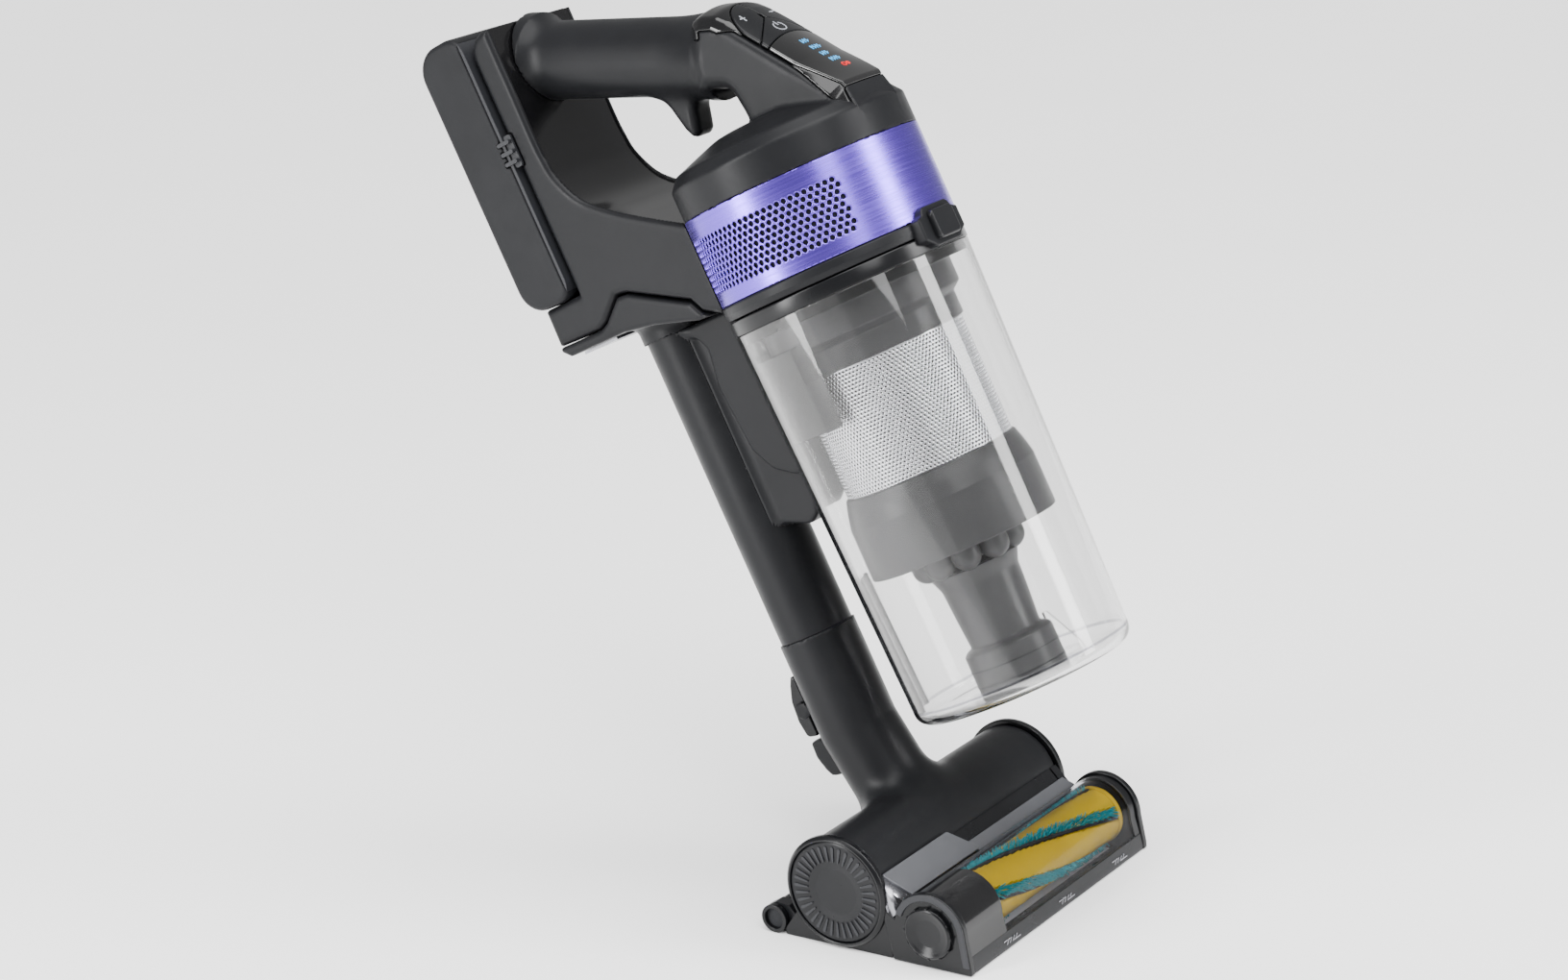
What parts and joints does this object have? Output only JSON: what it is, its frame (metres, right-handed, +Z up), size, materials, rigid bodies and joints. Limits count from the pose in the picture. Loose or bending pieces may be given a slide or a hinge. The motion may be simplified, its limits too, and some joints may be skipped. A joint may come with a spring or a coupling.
{
  "type": "cordless stick vacuum",
  "caption": "Handheld cordless vacuum with a clear cyclone bin, slide-off battery, suction tube and a tilting motorised mini brush tool.",
  "frame": {"origin": "centre of the tool's sole, directly below the tool's tilt pivot, on the floor plane", "axes": "+Z up from the sole, -Y to the front of the brush tool, +X to the tool's own left to right across its width; the tube leans back towards +Y by 24.7 degrees"},
  "size_m": [0.177, 0.371, 0.4512],
  "materials": {
    "charcoal_shell": "fine matte moulded plastic",
    "gloss_black": "glossy",
    "grey_plastic": "satin mid grey",
    "silver_trim": "satin",
    "violet_metal": "brushed violet metallic",
    "clear_plastic": "clear polished",
    "smoke_plastic": "smoked clear polished",
    "mesh_steel": "bright perforated sheet",
    "yellow_core": "satin yellow",
    "teal_bristle": "soft bristle and strip",
    "copper_contact": "bright",
    "board": "circuit board",
    "foam": "foam and pleated paper",
    "cell_wrap": "shrink wrap",
    "motor_metal": "machined"
  },
  "bodies": {
    "handheld": {"housing_left": "charcoal_shell", "housing_right": "charcoal_shell", "recess_liner": "gloss_black", "lower_trim": "charcoal_shell", "dock_plate": "silver_trim", "dock_contacts": "copper_contact", "main_board": "board", "battery_terminals": "copper_contact", "grip_left": "charcoal_shell", "grip_right": "charcoal_shell", "finger_stop": "charcoal_shell", "head_shell": "charcoal_shell", "head_trim": "gloss_black", "display_lens": "smoke_plastic", "motor_cover": "charcoal_shell", "exhaust_band": "violet_metal", "exhaust_filter": "foam", "motor_can": "motor_metal", "body_ring": "charcoal_shell", "suction_tube": "charcoal_shell", "tube_fairing": "grey_plastic"},
    "impeller_body": {"impeller": "grey_plastic"},
    "power": {"power_button": "gloss_black"},
    "plus": {"plus_button": "gloss_black"},
    "minus": {"minus_button": "gloss_black"},
    "bin_release": {"bin_button": "gloss_black"},
    "battery": {"battery_case": "charcoal_shell", "battery_plate": "charcoal_shell", "battery_cells": "cell_wrap"},
    "battery_grip_l": {"battery_button_l": "gloss_black"},
    "battery_grip_r": {"battery_button_r": "gloss_black"},
    "bin": {"bin_cup": "clear_plastic", "bin_collar": "charcoal_shell", "cyclone_cap": "grey_plastic", "pre_filter": "foam", "mesh_screen": "mesh_steel", "skirt_ring": "grey_plastic", "cyclone_lobes": "grey_plastic", "collector_tube": "grey_plastic", "inlet_duct": "gloss_black"},
    "neck": {"neck_body": "charcoal_shell"},
    "latch": {"latch_lever": "gloss_black"},
    "tool": {"tool_base": "charcoal_shell", "cheek_l": "gloss_black", "cheek_r": "gloss_black", "end_disc_l": "charcoal_shell", "end_disc_r": "charcoal_shell", "top_plate": "grey_plastic", "trim_bar": "silver_trim", "brush_window": "smoke_plastic", "end_cover_l": "gloss_black", "end_cover_r": "gloss_black", "brush_motor": "motor_metal"},
    "brush": {"brush_core": "yellow_core", "brush_strips": "teal_bristle"},
    "lock_knob": {"brush_knob": "gloss_black"},
    "roller": {"rear_roller": "gloss_black"}
  },
  "joints": [
    {"name": "bin_slide", "type": "slide", "parent": "handheld", "child": "bin", "axis": [0, -0.4179, -0.9085], "range_m": [0, 0.04]},
    {"name": "battery_slide", "type": "slide", "parent": "handheld", "child": "battery", "axis": [0, 0.9085, -0.4179], "range_m": [0, 0.04]},
    {"name": "battery_grip_l_press", "type": "slide", "parent": "battery", "child": "battery_grip_l", "axis": [1, 0, 0], "range_m": [0, 0.0015], "stiffness_N_per_m": 600},
    {"name": "battery_grip_r_press", "type": "slide", "parent": "battery", "child": "battery_grip_r", "axis": [-1, 0, 0], "range_m": [0, 0.0015], "stiffness_N_per_m": 600},
    {"name": "bin_release_press", "type": "slide", "parent": "handheld", "child": "bin_release", "axis": [0, 0.9085, -0.4179], "range_m": [0, 0.0015], "stiffness_N_per_m": 600},
    {"name": "power_press", "type": "slide", "parent": "handheld", "child": "power", "axis": [0, 0.4258, -0.9048], "range_m": [0, 0.0008], "stiffness_N_per_m": 600},
    {"name": "plus_press", "type": "slide", "parent": "handheld", "child": "plus", "axis": [0, 0.4258, -0.9048], "range_m": [0, 0.0008], "stiffness_N_per_m": 600},
    {"name": "minus_press", "type": "slide", "parent": "handheld", "child": "minus", "axis": [0, 0.4258, -0.9048], "range_m": [0, 0.0008], "stiffness_N_per_m": 600},
    {"name": "impeller_spin", "type": "hinge", "parent": "handheld", "child": "impeller_body", "pos_m": [0, 0.03571, 0.33498], "axis": [0, 0.4179, 0.9085], "continuous": true},
    {"name": "tool_release", "type": "slide", "parent": "handheld", "child": "neck", "axis": [0, -0.4179, -0.9085], "range_m": [0, 0.03]},
    {"name": "latch_turn", "type": "hinge", "parent": "neck", "child": "latch", "pos_m": [0, 0.06932, 0.08618], "axis": [-1, 0, 0], "range_deg": [0, 6], "stiffness_Nm_per_rad": 0.4},
    {"name": "tool_tilt", "type": "hinge", "parent": "neck", "child": "tool", "pos_m": [0, 0, 0.03], "axis": [1, 0, 0], "range_deg": [-20, 20]},
    {"name": "brush_spin", "type": "hinge", "parent": "tool", "child": "brush", "pos_m": [0, -0.054, 0.019], "axis": [1, 0, 0], "continuous": true},
    {"name": "lock_knob_turn", "type": "hinge", "parent": "tool", "child": "lock_knob", "pos_m": [-0.087, -0.054, 0.019], "axis": [-1, 0, 0], "range_deg": [0, 60]},
    {"name": "roller_spin", "type": "hinge", "parent": "tool", "child": "roller", "pos_m": [0, 0.039, 0.0073], "axis": [1, 0, 0], "continuous": true}
  ]
}
